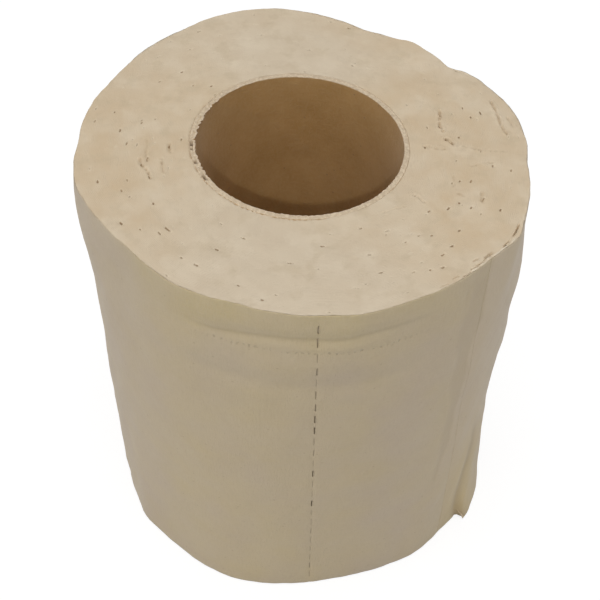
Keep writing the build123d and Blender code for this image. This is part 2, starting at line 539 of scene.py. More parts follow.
def sheet_warmth(direction, level):
    """How yellow the tissue looks, from 0 to 1: most at the rim and beside the valley."""
    front = smooth_step(direction, -150, -118) * (1 - smooth_step(direction, -80, -58))
    pressed_left = smooth_step(direction, -150, -125) * (1 - smooth_step(direction, -62, -40))
    pressed_band = smooth_step(level, 84, 97) * pressed_left
    foot = dip(direction, -96, 16) * (1 - smooth_step(level, 8, 34))
    slow = slow_waves(direction, level, 15, 16, 30) + 0.6 * slow_waves(direction, level, 16, 40, 12)
    beside_valley = dip(direction, -33.0, 6.5) * dip(level, 12, 26)
    tail = dip(direction, -38, 16) * (1 - pressed_band)
    warm = 0.10 + 0.34 * front + 0.42 * pressed_band + 0.2 * foot
    warm += 0.80 * beside_valley + 0.40 * tail + 0.10 * slow
    return np.clip(warm, 0, 1)


print("deepest dent", round(float(sheet_relief(np.linspace(-180, 179, 200), 92.0).min()), 2), "mm")

# %% [markdown]
# ## Last sheet: the mesh
# The grid is bent round the roll by the formulas above. At a slit, the column is doubled: each
# side gets its own point, moved apart, and at the slit's ends both sides share one. That opens a
# real hole, wide where the paper was pulled and a fine line where it wasn't. A Solidify modifier
# then gives the paper its thickness, also round the slits.

# %% The last sheet
SHEET_THICKNESS = 0.22
LAP_STEP = 0.5
LAP_ROOM = 0.006
THIN_EDGE_ANGLE = 5

# half width of a slit that is shut, and what a fully open one adds to it and lifts its right side
SHUT_WIDTH = 0.012
OPEN_WIDTH = 0.22
OPEN_LIFT = 0.16

# how far slits are open, from 0 to 1: most of them, those of the hidden row, and a list by level
CLOSED_SLIT = 0.05
HIDDEN_SLIT = 0.15
OPENED_SLITS = {
    96: 0.8, 92: 0.5, 84: 0.3, 76: 0.3, 72: 0.35, 68: 0.8, 64: 0.7, 60: 0.12, 56: 0.15, 48: 0.75,
    36: 0.7, 28: 0.12, 24: 0.15, 16: 0.1, 8: 0.25, 4: 0.12,
}


def edge_thickness(turn):
    """Share of the full thickness: the plies end one behind the other at the free edge."""
    return 0.05 + 0.95 * smooth_step(turn, 0.2, 4.0)


def sheet_radius(turn, level, loose=True):
    """Radius of the last sheet's outer face at an angle of turn from its free edge."""
    direction = EDGE_DIRECTION + turn
    front_direction = off(direction, 0.0)
    radius = paper_radius(direction, level) - LAP_STEP * turn / 360
    radius = radius + sheet_relief(front_direction, level)
    near_start = 1 - smooth_step(turn, 4, 24)
    pressed = LAP_STEP - LAP_ROOM - SHEET_THICKNESS * edge_thickness(turn)
    lift, trough = pucker(front_direction, level)
    return radius - pressed * near_start + (lift - 0.16 * trough) * (turn < 180) * loose


def round_the_roll(radius, direction, level):
    """Points from radii, directions and levels; a single number stands for all of its kind."""
    radius, direction, level = np.broadcast_arrays(radius, direction, level)
    angle = np.radians(direction)
    return np.stack((radius * np.cos(angle), radius * np.sin(angle), level), -1)


def place_on_sheet(turn, level, shift=0.0):
    """Where points lie on the sheet when it is flat, in millimetres, for the material."""
    along = turn * pi / 180 * ROLL_RADIUS + shift
    return np.stack((along, level, 0 * level), -1).reshape(-1, 3)


def slit_opening(middle):
    """How wide the slit of the front row at a level is open."""
    return OPENED_SLITS.get(round(middle), CLOSED_SLIT)


turn_grid, level_grid = np.meshgrid(columns, rows)
direction_grid = EDGE_DIRECTION + turn_grid
sheet_edge = edge_waves(direction_grid, 11, 60, 14) + edge_waves(direction_grid, 12, 170, 40)
edge_level = level_grid + 0.03 * sheet_edge * smooth_step(level_grid, 97, 99.9)
sheet_points = round_the_roll(sheet_radius(turn_grid, level_grid), direction_grid, edge_level)
sheet_points = sheet_points.reshape(-1, 3).tolist()
sheet_turns = turn_grid.ravel().tolist()
sheet_levels = level_grid.ravel().tolist()
print("the even sheet has", len(sheet_points), "points")

# %% Open the slits
left_side = point_numbers(*turn_grid.shape)
right_side = left_side.copy()
for exact_turn, openings in (
        (perforation_turn, [slit_opening(middle) for middle in slit_middles]),
        (hidden_turn, [HIDDEN_SLIT] * SLIT_COUNT)):
    column = int(np.abs(columns - exact_turn).argmin())
    angle = radians(EDGE_DIRECTION + exact_turn)
    sideways = np.array((-sin(angle), cos(angle), 0))
    outwards = np.array((cos(angle), sin(angle), 0))
    for middle, opening in zip(slit_middles, openings):
        apart = sideways * (SHUT_WIDTH + OPEN_WIDTH * opening)
        for row in np.flatnonzero(np.abs(rows - middle) < SLIT_LENGTH * 0.49):
            point = np.array(sheet_points[left_side[row, column]])
            sheet_points.append((point + apart + outwards * OPEN_LIFT * opening).tolist())
            sheet_turns.append(exact_turn)
            sheet_levels.append(float(rows[row]))
            right_side[row, column] = len(sheet_points) - 1
            sheet_points[left_side[row, column]] = (point - apart).tolist()

sheet_turns, sheet_levels = np.array(sheet_turns), np.array(sheet_levels)
sheet_directions = off(EDGE_DIRECTION + sheet_turns, 0.0)
lift, trough = pucker(sheet_directions, sheet_levels)
near_edge = sheet_turns < 180
foot_share = (1 - smooth_step(sheet_levels, 24, 44)) * (1 - smooth_step(sheet_turns, 14, 34))
start_seen = smooth_step(sheet_levels, 14, 40) * (np.abs(off(sheet_directions, -30)) < 24)
pressed_left = smooth_step(sheet_directions, -120, -108)
outer_sheet = make_piece("outer_sheet", sheet_points, grid_faces(left_side, right_side), {
    "sheet_place": place_on_sheet(sheet_turns, sheet_levels),
    "darker_band": band_share(sheet_directions, sheet_levels),
    "sheet_start": start_share(sheet_directions, sheet_levels) * start_seen,
    # painted shade: the pucker's valley and the dent under the rim are drawn darker
    "valley_shade": trough * near_edge + 0.5 * tail_dent(sheet_directions, sheet_levels, 0.3),
    # painted light: a warm tint where light comes through the thin loose foot
    "painted_through_light": near_edge * foot_share,
    "warmth": sheet_warmth(sheet_directions, sheet_levels),
    "crease_offset": sheet_levels - crease_level(sheet_directions),
    "press_share": pressed_left * (1 - smooth_step(sheet_directions, -66, -54)),
})

# %% Thickness of the last sheet
edge_group = outer_sheet.vertex_groups.new(name="thin edge")
for turn in columns[columns < THIN_EDGE_ANGLE]:
    numbers = np.flatnonzero(np.abs(sheet_turns - turn) < 1e-6).tolist()
    edge_group.add(numbers, float(edge_thickness(turn)), "REPLACE")
edge_group.add(np.flatnonzero(sheet_turns >= THIN_EDGE_ANGLE).tolist(), 1.0, "REPLACE")


def thicken(piece, thickness, group_name=""):
    """Gives a sheet its thickness in millimetres, inwards from the outer face."""
    solid = piece.modifiers.new("paper thickness", "SOLIDIFY")
    solid.thickness = thickness * MM
    solid.offset = -1
    solid.vertex_group = group_name


thicken(outer_sheet, SHEET_THICKNESS, edge_group.name)
print("the sheet is", SHEET_THICKNESS, "mm thick")

# %% [markdown]
# ## Turn below the slits
# Through an opened slit one sees the next turn, in shade where the slit has pulled away from it.
# A narrow strip of that turn is enough. It lies just under the sheet and sinks below each opened
# slit, where shade is also painted on it, so that a wide slit is dark and a closed one hardly
# shows.

# %% The strip of turn below
STRIP_HALF_ANGLE = 7
STRIP_ROOM = 0.03

strip_directions = PERFORATION_DIRECTION + np.linspace(-STRIP_HALF_ANGLE, STRIP_HALF_ANGLE, 41)
strip_levels = np.linspace(0.4, 99.2, 200)
direction_grid, level_grid = np.meshgrid(strip_directions, strip_levels)
strip_turns = turned(direction_grid, EDGE_DIRECTION)
from_slits = off(direction_grid, PERFORATION_DIRECTION)
hollow = np.zeros_like(level_grid)
for middle in slit_middles:
    hollow += slit_opening(middle) * np.exp(
        -((level_grid - middle) / 1.5) ** 4 - (from_slits / 0.8) ** 2)
sunk = 0.7 * hollow + 0.25 * np.abs(from_slits / STRIP_HALF_ANGLE) ** 4
radius_grid = sheet_radius(strip_turns, level_grid) - SHEET_THICKNESS - STRIP_ROOM - sunk
strip_points = round_the_roll(radius_grid, direction_grid, level_grid).reshape(-1, 3)
turn_below = make_piece("turn_below", strip_points, grid_faces(point_numbers(*level_grid.shape)), {
    "warmth": sheet_warmth(direction_grid, level_grid).ravel(),
    "sheet_place": place_on_sheet(strip_turns, level_grid, 40),
    # painted shade under each opened slit
    "valley_shade": hollow.ravel() * 1.4,
})

# %% [markdown]
# ## Loose corner
# At the very foot of the pucker one ply's corner has come free. It curls off the roll with its
# tip on the floor. It is a small, thinner sheet, bent round an upright line: rows go up it, and
# columns follow the curl from the pucker outwards and back.

# %% The loose corner
PLY_THICKNESS = 0.08
CORNER_HEIGHT = 3.2
CURL_ANGLE = 230
CURL_RADIUS = 49

corner_levels = np.linspace(0.05, CORNER_HEIGHT, 18)
share_grid, level_grid = np.meshgrid(np.linspace(0, 1, 20), corner_levels)
root = line_direction(VALLEY, level_grid) + 0.7
root_radius = sheet_radius(turned(root, EDGE_DIRECTION), level_grid) - 0.05
curl_angle = share_grid * radians(CURL_ANGLE)
curl_size = 0.10 + 0.55 * (1 - level_grid / CORNER_HEIGHT) ** 0.7
direction_grid = root - np.degrees(curl_size * np.sin(curl_angle) / CURL_RADIUS)
radius_grid = root_radius - 0.35 * curl_size * (1 - np.cos(curl_angle))
radius_grid = radius_grid + 0.25 * curl_size * np.sin(curl_angle)
corner_points = round_the_roll(radius_grid, direction_grid, level_grid).reshape(-1, 3)
corner_faces = grid_faces(point_numbers(*level_grid.shape)[:, ::-1])
corner_turns = turned(direction_grid, EDGE_DIRECTION)
loose_corner = make_piece("loose_corner", corner_points, corner_faces, {
    "sheet_place": place_on_sheet(corner_turns, level_grid),
    "painted_through_light": (1 - share_grid).ravel(),
})
thicken(loose_corner, PLY_THICKNESS)

# %% [markdown]
# ## Marks in the ends
# Between two sheets the paper is cut by a row of slits, and where such a row reaches the roll's
# end a slit may lie open there as a small dark mark. The marks could be strewn at random, but
# they follow from the winding: mark number k lies k sheets along the spiral. The turn it falls
# in gives its distance from the core, and what is left of the length gives its direction. Most
# are pressed shut, so a seeded chance picks those that show, and a few that show most are given
# by their direction and distance.

# %% Where the marks lie
TURN_THICKNESS = 0.33

# paper from one row of slits to the next along the spiral, half a millimetre over the last sheet
WOUND_SHEET_LENGTH = 127.5

# direction and distance from the axis of the marks that show most, and of fainter ones
BOLD_MARKS = (
    (-146, 34.0), (-159, 31.9), (-46, 36.8), (-52, 44.1), (-64, 27.6), (-59, 42.0), (-123, 39.7),
    (-118, 39.8), (3, 30.3), (-67, 39.6), (-175, 26.7), (-67, 34.7), (-98, 44.1), (-38, 32.3),
    (-139, 39.8), (-162, 41.9), (14, 37.1), (4, 33.1), (-39, 39.8), (-45, 41.3), (-144, 41.8),
    (11, 29.7), (-81, 30.1), (-49, 41.7), (-2, 25.8), (-19, 34.0), (-29, 36.0), (-116, 34.6),
    (-9, 39.7), (-18, 36.1), (-166, 32.7), (-134, 36.0), (-168, 31.4), (-26, 43.8), (-3, 37.2),
    (139, 34.5), (1, 31.4), (-105, 41.5),
)
FAINT_MARKS = (
    (168, 39.9), (176, 37.3), (-178, 35.4), (-177, 33.3), (168, 30.9), (171, 33.4), (173, 43.1),
    (-156, 38.1), (-160, 36.2), (-133, 36.0), (-134, 37.8), (-180, 24.3), (81, 42.9), (18, 31.0),
    (-10, 43.4), (-56, 30.7), (-34, 27.8), (-110, 29.9), (148, 36.0), (-24, 39.8), (-92, 34.4),
    (142, 29.4), (19, 36.5), (-29, 38.6), (137, 26.3), (15, 39.5), (-55, 43.2), (-95, 42.6),
    (36, 42.0), (-33, 34.9), (-49, 35.2), (122, 44.0), (75, 41.5), (170, 33.6), (-21, 32.7),
)


def winding_marks(seed, phase_turns):
    """Direction and distance from the axis, in a round roll, of every sheet's row of slits."""
    chance = np.random.default_rng(seed)
    marks = []
    turns = 0.0
    radius = ROLL_RADIUS
    while radius > PAPER_BORE_RADIUS + 0.8:
        turns += WOUND_SHEET_LENGTH / (2 * pi * radius)
        radius = ROLL_RADIUS - TURN_THICKNESS * turns
        direction = EDGE_DIRECTION + 360 * (turns + phase_turns) + chance.normal(0, 1.2)
        marks.append((off(direction, 0.0), radius))
    return marks


law_marks = winding_marks(seed=5, phase_turns=0.12)
paper_length = len(law_marks) * WOUND_SHEET_LENGTH / 1000
print(len(law_marks), "sheets on the roll, about", round(paper_length, 1), "m")

# %% [markdown]
# ## Wound turns
# Under the last sheet the roll is one body here, with a bore for the core. Its ends carry the
# interest: a polar grid, closest near the rim, whose height follows seeded waves along the
# turns, because neighbouring turns stand a hair higher or lower. The marks are small pits. Near
# the free edge the outermost turns hang loose, and thin gaps part them.

# %% Grid of the upper end
INNER_EDGE = CORE_BORE_RADIUS + CORE_WALL - 0.02
CLOSE_COLUMN = 0.42
WIDE_COLUMN = 0.76
CLOSE_RING = 0.0041
WIDE_RING = 0.0084


def end_step(direction):
    """Angle to the next column of the ends: finer where marks and wrinkles crowd."""
    front_direction = off(direction, 0.0)
    crowded = -172 < front_direction < -140 or -62 < front_direction < 34
    return CLOSE_COLUMN if crowded else WIDE_COLUMN


end_turns = [0.0]
while end_turns[-1] < 360:
    end_turns.append(end_turns[-1] + end_step(EDGE_DIRECTION + end_turns[-1]))
end_turns = np.array(end_turns) * 360 / end_turns[-1]
end_directions = EDGE_DIRECTION + end_turns
COLUMN_COUNT = len(end_turns) - 1

ring_shares = [0.0, 0.004, 0.010, 0.018]
while ring_shares[-1] < 1:
    ring_shares.append(ring_shares[-1] + (CLOSE_RING if ring_shares[-1] > 0.90 else WIDE_RING))
ring_shares = np.array(ring_shares) / ring_shares[-1]


def inner_radius(turn, level):
    """Radius just inside all that the last sheet covers, its tucked end included."""
    inner = sheet_radius(turn, level, loose=False) - SHEET_THICKNESS * edge_thickness(turn)
    tucked = sheet_radius(turn + 360, level, loose=False) - SHEET_THICKNESS
    return np.where(turn < TUCK_ANGLE + 1, np.minimum(inner, tucked), inner) - 0.04


def lip_radius(turn):
    """Radius of the upper end's outermost edge, just inside the last sheet's outer face."""
    ragged = edge_waves(EDGE_DIRECTION + turn, 12, 170, 40)
    return sheet_radius(turn, 99.9) - 0.05 + 0.03 * ragged


print(len(ring_shares), "rings and", COLUMN_COUNT, "columns")

# %% Height of the upper end
direction_grid, ring_grid = np.meshgrid(end_directions, ring_shares)
bore_ring = INNER_EDGE + oval(end_directions)
rim_grid = np.broadcast_to(lip_radius(end_turns), direction_grid.shape)
radius_grid = bore_ring + (rim_grid - bore_ring) * ring_grid
round_grid = INNER_EDGE + (ROLL_RADIUS - INNER_EDGE) * ring_grid
inward_grid = rim_grid - radius_grid

end_height = 0.025 * slow_waves(direction_grid, round_grid, 22, 30, 2.6, 16)
end_height += 0.05 * slow_waves(direction_grid, round_grid, 23, 22, 6, 16)
end_height += 0.10 * slow_waves(direction_grid, round_grid, 25, 8, 16, 16)
print("the end waves by", round(float(np.ptp(end_height)), 2), "mm")

# %% Press the marks
MARK_DEPTH = 0.30
LAW_MARK_CHANCE = 0.55

mark_grid = np.zeros_like(radius_grid)
chance = np.random.default_rng(31)


def press_mark(direction, distance, length, width, strength):
    """Adds one slit's mark, a short dash along the turn."""
    along = radians(1) * off(direction_grid, direction) * radius_grid
    across = radius_grid - distance
    mark = strength * np.exp(-(along / (length / 2)) ** 4 - (across / (width / 2)) ** 2)
    np.maximum(mark_grid, mark, out=mark_grid)


for direction, distance in BOLD_MARKS:
    strength = chance.uniform(0.75, 1.1)
    press_mark(direction, distance, chance.uniform(0.55, 1.0), chance.uniform(0.32, 0.42), strength)
for direction, distance in FAINT_MARKS:
    press_mark(direction, distance, chance.uniform(0.7, 1.2), 0.40, chance.uniform(0.50, 0.80))
shown = 0
for direction, distance in law_marks:
    if chance.random() < LAW_MARK_CHANCE:
        rim = float(lip_radius(np.array(turned(direction, EDGE_DIRECTION))))
        share = (distance - INNER_EDGE) / (ROLL_RADIUS - INNER_EDGE)
        distance = INNER_EDGE + (rim - INNER_EDGE) * share
        press_mark(direction, distance, chance.uniform(0.5, 1.0), 0.36, chance.uniform(0.32, 0.60))
        shown += 1
end_height -= MARK_DEPTH * mark_grid
print(len(BOLD_MARKS) + len(FAINT_MARKS) + shown, "marks show")

# %% [markdown]
# A soft roll that has been squeezed wrinkles at its ends as well. Most wrinkles here cross the
# turns near the marks, on the left and on the right, and one opens like a lip between two turns.
# Each is a line of points, given by direction and distance from the axis, with a width, a depth
# and a tone, the strength of the shade painted in it. The distance from every grid point to the
# line shapes a small valley.

# %% Wrinkles of the upper end
WRINKLE_WIDTH_SHARE = 0.75
WRINKLE_SHADE_SHARE = 1.4

WRINKLES = (
    (((18.8, 43.1), (15.3, 43.0), (11.3, 42.7), (7.0, 42.7), (5.0, 43.2)), 0.45, 0.55, 0.55),
    (((11.4, 44.7), (7.6, 45.1)), 0.7, 0.25, 0.25),
    (((-0.6, 33.5), (-2.5, 37.5), (-2.5, 42.5)), 0.36, 0.20, 0.42),
    (((-11.0, 35.4), (-8.4, 37.5), (-7.7, 39.7)), 0.34, 0.16, 0.36),
    (((20.5, 31.4), (17.2, 31.0), (12.1, 29.9), (7.9, 30.2)), 0.50, 0.45, 0.55),
    (((3.1, 30.3), (1.8, 31.1), (-0.1, 31.7)), 0.60, 0.50, 0.75),
    (((-1.2, 25.7), (-1.6, 26.6)), 0.60, 0.30, 0.5),
    (((-2.4, 28.0), (-2.8, 29.8)), 0.5, 0.22, 0.35),
    (((-33.6, 27.5), (-34.5, 29.0), (-35.1, 30.2)), 0.5, 0.22, 0.30),
    (((-52.5, 26.1), (-46.5, 26.9), (-42.1, 27.9)), 0.4, 0.14, 0.20),
    (((-17.1, 32.4), (-22.6, 33.3)), 0.34, 0.14, 0.36),
    (((-21.9, 39.1), (-24.9, 39.8)), 0.7, 0.30, 0.40),
    (((-25.0, 34.7), (-25.5, 36.2)), 0.5, 0.20, 0.40),
    (((-169.2, 32.7), (-166.2, 32.7), (-163.5, 32.0), (-160.8, 31.7), (-158.1, 31.8)),
     0.5, 0.38, 0.65),
    (((180.0, 31.4), (185.0, 31.2), (190.0, 31.5), (192.5, 31.2)), 0.45, 0.20, 0.35),
    (((-167.8, 28.5), (-163.0, 28.7), (-159.7, 28.8)), 0.5, 0.26, 0.42),
    (((-176.6, 26.6), (-171.4, 26.6)), 0.6, 0.3, 0.6),
)
x_grid = radius_grid * np.cos(np.radians(direction_grid))
y_grid = radius_grid * np.sin(np.radians(direction_grid))


def distance_to_line(places):
    """Distance in mm from every grid point to a line through places on the end."""
    points = [np.array((r * cos(radians(d)), r * sin(radians(d)))) for d, r in places]
    nearest = np.full_like(x_grid, 1e9)
    for start, end in zip(points[:-1], points[1:]):
        along = end - start
        share = ((x_grid - start[0]) * along[0] + (y_grid - start[1]) * along[1]) / (along @ along)
        share = np.clip(share, 0, 1)
        gap = np.hypot(x_grid - start[0] - share * along[0], y_grid - start[1] - share * along[1])
        nearest = np.minimum(nearest, gap)
    return nearest


wrinkle_grid = np.zeros_like(radius_grid)
wobble = 0.09 * slow_waves(direction_grid, round_grid, 28, 160, 0.9)
broken = np.clip(0.8 + 0.5 * slow_waves(direction_grid, round_grid, 29, 150, 1.4), 0.15, 1.1)
for places, width, depth, tone in WRINKLES:
    width, tone = WRINKLE_WIDTH_SHARE * width, WRINKLE_SHADE_SHARE * tone
    gap = distance_to_line(places) + wobble
    end_height -= depth * broken * np.exp(-(gap / (width * 0.6)) ** 2)
    end_height += 0.25 * depth * np.exp(-((gap - width * 1.5) / (width * 0.8)) ** 2)
    # the tone is the shade painted along the wrinkle
    wrinkle_grid = np.maximum(wrinkle_grid, tone * broken * np.exp(-(gap / (width * 0.5)) ** 2))
print(len(WRINKLES), "wrinkles")

# %% [markdown]
# Near the free edge the outermost turns hang loose, and thin gaps open between them: short,
# ragged and one after the other, with the torn lip of a turn beside each. The dark line comes
# from depth, steep narrow valleys in the mesh which little light reaches, and from painted shade.
# Round the core the paper has drawn back a little, most on the left and in front, with painted
# shade in that groove, and near the free edge the saw has raised a pale fringe of fibres.

# %% Slack gaps at the rim
# direction and distance from the rim of a gap's two ends, then its width and depth
SLACK_GAPS = (
    ((-32.8, 1.15), (-28.0, 0.85), 0.26, 1.0),
    ((-37.2, 0.45), (-34.2, 0.85), 0.22, 1.2),
    ((-43.2, 0.66), (-39.8, 0.76), 0.22, 1.0),
    ((-42.6, 1.08), (-39.9, 0.98), 0.20, 0.9),
    ((-45.7, 0.78), (-43.0, 0.46), 0.20, 0.8),
    ((-47.6, 0.78), (-45.2, 0.42), 0.18, 0.7),
    ((-45.2, 1.95), (-43.8, 1.75), 0.24, 0.8),
    ((-50.4, 0.34), (-47.6, 0.30), 0.18, 0.5),
    ((-52.6, 1.00), (-50.6, 1.05), 0.24, 0.4),
    ((-56.5, 0.45), (-53.6, 0.35), 0.20, 0.35),
)
gap_grid = np.zeros_like(radius_grid)
for (start, start_inward), (end, end_inward), width, depth in SLACK_GAPS:
    along = off(direction_grid, (start + end) / 2) / (end - start) + 0.5
    fade = np.clip(1 - (2 * along - 1) ** 4, 0, 1) * (np.abs(along - 0.5) < 0.5)
    middle = start_inward + (end_inward - start_inward) * along
    angle_grid = np.radians(direction_grid)
    wander = 0.06 * np.sin(90 * angle_grid + start) + 0.04 * np.sin(230 * angle_grid + 2 * start)
    across = (inward_grid - middle - wander) / (width / 2)
    gap_grid = np.maximum(gap_grid, depth * fade * np.exp(-across ** 4))
    end_height += 0.14 * depth * fade * dip(across, -2.0, 0.9)
end_height -= gap_grid
print("deepest gap", round(float(gap_grid.max()), 2), "mm")

# %% Gap round the core, fringe and warm side
def near(direction, half_angle):
    """1 in one direction on the end, falling softly to nothing about a half angle away."""
    return dip(off(direction_grid, direction), 0, half_angle)


torn = np.clip(0.45 + 0.8 * edge_waves(direction_grid, 44, 150, 40), 0.1, 1)
groove_share = 0.08 + 0.7 * near(170, 46) + 0.45 * near(-110, 45)
core_gap = groove_share * torn * (1 - smooth_step(ring_grid, 0.004, 0.016))
end_height -= 0.4 * core_gap

flecks = np.clip(0.35 + 0.9 * slow_waves(direction_grid, 3 * inward_grid, 46, 170, 2.5, 40), 0, 1)
fringe_share = near(-38, 15) + 0.25 * near(-95, 50)
fringe = fringe_share * flecks * (1 - smooth_step(inward_grid, 0.2, 0.75))
end_height += 0.12 * fringe * smooth_step(inward_grid, 0.0, 0.2)
end_height = end_height * smooth_step(inward_grid, -0.02, 0.14)

warm_grid = 0.55 + 0.45 * np.cos(np.radians(2 * direction_grid))
warm_grid = np.clip(warm_grid + 0.25 * slow_waves(direction_grid, round_grid, 27, 4, 30, 16), 0, 1)
print("upper end from", round(float(end_height.min()), 2), "to", round(float(end_height.max()), 2))

# %% [markdown]
# The upper end is a piece of its own, because it needs a grid about ten times finer than the
# rest: a disc 2.5 mm thick with the relief on its upper face. The body below is plain. Both are
# closed loops of rings, strung together in one order round the section.

# %% The upper end
END_THICKNESS = 2.5
SPLIT_LEVEL = SHEET_WIDTH - END_THICKNESS
END_LEVEL = 99.97
MIDDLE_RADIUS = 30.0


def ring_at(radius, level):
    """A ring round the roll at a radius and a level."""
    return round_the_roll(radius, end_directions, level)


def make_loop(name, rings, values):
    """A piece whose rings follow each other round its section, the last joined to the first."""
    numbers = closed(point_numbers(len(rings), COLUMN_COUNT + 1))
    return make_piece(name, np.concatenate(rings), grid_faces(numbers.T), values)


turns_to_rim = (ROLL_RADIUS - PAPER_BORE_RADIUS) / TURN_THICKNESS
winding = end_directions / 360
end_rings = list(round_the_roll(radius_grid, direction_grid, END_LEVEL + end_height))
end_rings += [ring_at(inner_radius(end_turns, level), level) for level in (99.9, 98.8, SPLIT_LEVEL)]
end_rings += [ring_at(MIDDLE_RADIUS, SPLIT_LEVEL), ring_at(bore_ring, SPLIT_LEVEL)]


def on_top(values):
    """Values of the upper face, with zeros for the rings below it."""
    below = np.zeros((len(end_rings) - len(values), COLUMN_COUNT + 1))
    return np.concatenate((values, below)).ravel()


upper_end = make_loop("upper_end", end_rings, {
    "turn_count": on_top(ring_grid * turns_to_rim + winding),
    "slit_mark": on_top(mark_grid),
    # painted shade in the gaps and the wrinkles
    "depth_shade": on_top(np.maximum(np.clip(gap_grid / 1.1, 0, 1), wrinkle_grid)),
    "pale_fringe": on_top(fringe),
    "core_groove_shade": on_top(core_gap),
    "warm_side": on_top(warm_grid),
})

# %% The wound turns
BODY_ROOM = 0.12

# levels of the body's side, and how far it stays inside the last sheet there
SIDE_RINGS = (
    (SPLIT_LEVEL, 0), (90, 0.7), (75, 0.5), (60, 0.5), (45, 0.5), (30, 0.5), (15, 0.5), (5, 0.4),
    (0.5, 0),
)
base_shares = np.linspace(1, 0, 16)
body_bore = bore_ring + BODY_ROOM
body_rings = [ring_at(inner_radius(end_turns, level) - spare, level) for level, spare in SIDE_RINGS]
for share in base_shares:
    base_wave = slow_waves(end_directions, 40 * share, 24, 9, 5)
    radius = body_bore + (inner_radius(end_turns, 0.0) - body_bore) * share
    body_rings.append(ring_at(radius, BODY_ROOM + 0.07 * base_wave))
body_rings += [ring_at(body_bore, level) for level in (12.0, 40.0, 70.0, SPLIT_LEVEL)]
turn_counts = np.zeros((len(body_rings), COLUMN_COUNT + 1))
base_start = len(SIDE_RINGS)
base_counts = base_shares[:, None] * turns_to_rim + winding
turn_counts[base_start:base_start + len(base_shares)] = base_counts
wound_turns = make_loop("wound_turns", body_rings, {
    "turn_count": turn_counts.ravel(),
    "warm_side": np.full(turn_counts.size, 0.5),
})

# %% [markdown]
# ## Core
# The core is a tube of brown board, wound from strips that leave a seam in a steep helix on its
# inner wall. The log saw left its end a little ragged, and one ply has lifted on the left. A
# tube is a closed loop of rings, like the body: up the inner wall, over the sawn rim and down
# the outer wall. The seam is a step in the inner wall's radius.

# %% Unevenness of the core
CORE_COLUMNS = 600
STRIP_LEAD = 118.0
SEAM_START = 200
SEAM_STEP = 0.05
TORN_SIDE = 172
PEELED_SIDE = 160

# direction and half width of the spots where the paper has drawn back from the board
GAP_SPOTS = ((-177.4, 1.4), (-162.7, 1.2), (-149.3, 1.8), (-173.3, 0.8))

core_directions = np.arange(CORE_COLUMNS) * 360 / CORE_COLUMNS


def round_the_core(direction, half_angle):
    """1 in one direction of the core, falling softly to nothing about a half angle away."""
    return dip(off(core_directions, direction), 0, half_angle)


def seam_share(direction, level):
    """A strip's overlap: a step that runs up the wall in a helix, and fades behind it."""
    place = ((direction - SEAM_START) / 360 - level / STRIP_LEAD) % 1
    return np.exp(-place / 0.035) * (place > 0)


left_share = round_the_core(TORN_SIDE, 44)
torn_share = 0.18 + 0.82 * left_share
teeth = edge_waves(core_directions, 42, 170, 40)
fine_teeth = edge_waves(core_directions, 45, 290, 60)
broad_teeth = edge_waves(core_directions, 47, 60, 24)
patchy = np.clip(0.5 + 0.9 * edge_waves(core_directions, 48, 16, 14), 0.05, 1.5)
ragged = 0.04 * edge_waves(core_directions, 41, 120, 30) + 0.09 * torn_share * teeth
inward_teeth = 0.13 * torn_share * (patchy * (teeth + 0.8 * fine_teeth) + 1.2 * broad_teeth)
inward_teeth = inward_teeth + 0.18 * round_the_core(PEELED_SIDE, 20)
ply_crack = np.clip(0.2 + teeth, 0, 1) * (0.15 + 0.85 * left_share)
gap_spots = sum(round_the_core(direction, half_width) for direction, half_width in GAP_SPOTS)
print("the rim's teeth reach", round(float(inward_teeth.max()), 2), "mm inwards")

# %% Rings of the core tube
RIM_LEVEL = SHEET_WIDTH - 0.08

# share of the way from the inner to the outer wall, and height over the rim's level
RIM_PROFILE = (
    (0.05, 0.03), (0.22, 0.05), (0.36, 0.03), (0.48, 0.0), (0.60, 0.02), (0.72, 0.03), (0.84, 0.0),
    (0.93, -0.03), (1.0, -0.08), (1.0, -0.6),
)

# rings of that profile: the joint of two plies, those with the spots, and all of the cut edge
PLY_JOINT = 3
SPOT_RINGS = slice(3, 7)
CUT_RINGS = 9

inner_levels = np.concatenate((np.linspace(0, 90, 46), np.linspace(91.5, 99, 7), (99.7, 100)))
core_rings = []
for level in inner_levels:
    wall = CORE_BORE_RADIUS + 0.05 + oval(core_directions)
    wall = wall - SEAM_STEP * seam_share(core_directions, level)
    wall = wall + 0.03 * slow_waves(core_directions, level, 43, 20, 12)
    core_rings.append(round_the_roll(wall, core_directions, level))
core_rings[-1][:, 2] += ragged - 0.08
core_rings[-1][:, :2] *= (1 - inward_teeth / CORE_BORE_RADIUS)[:, None]
core_rings[-2][:, :2] *= (1 - 0.4 * inward_teeth / CORE_BORE_RADIUS)[:, None]

wall_radius = np.hypot(core_rings[-1][:, 0], core_rings[-1][:, 1])
rim_radius = CORE_BORE_RADIUS + CORE_WALL - 0.04 + oval(core_directions)
for outward, rise in RIM_PROFILE:
    radius = wall_radius + (rim_radius - wall_radius) * outward
    rise = rise - 0.34 * ply_crack * (0.4 < outward < 0.55) - 0.9 * gap_spots * (0.4 < outward < 0.9)
    core_rings.append(round_the_roll(radius, core_directions, RIM_LEVEL + rise + ragged))
core_rings += [round_the_roll(rim_radius, core_directions, level) for level in (97, 60, 30, 0.3)]
core_rings.append(round_the_roll(rim_radius - 0.6, core_directions, 0))
print(len(core_rings), "rings round the board")

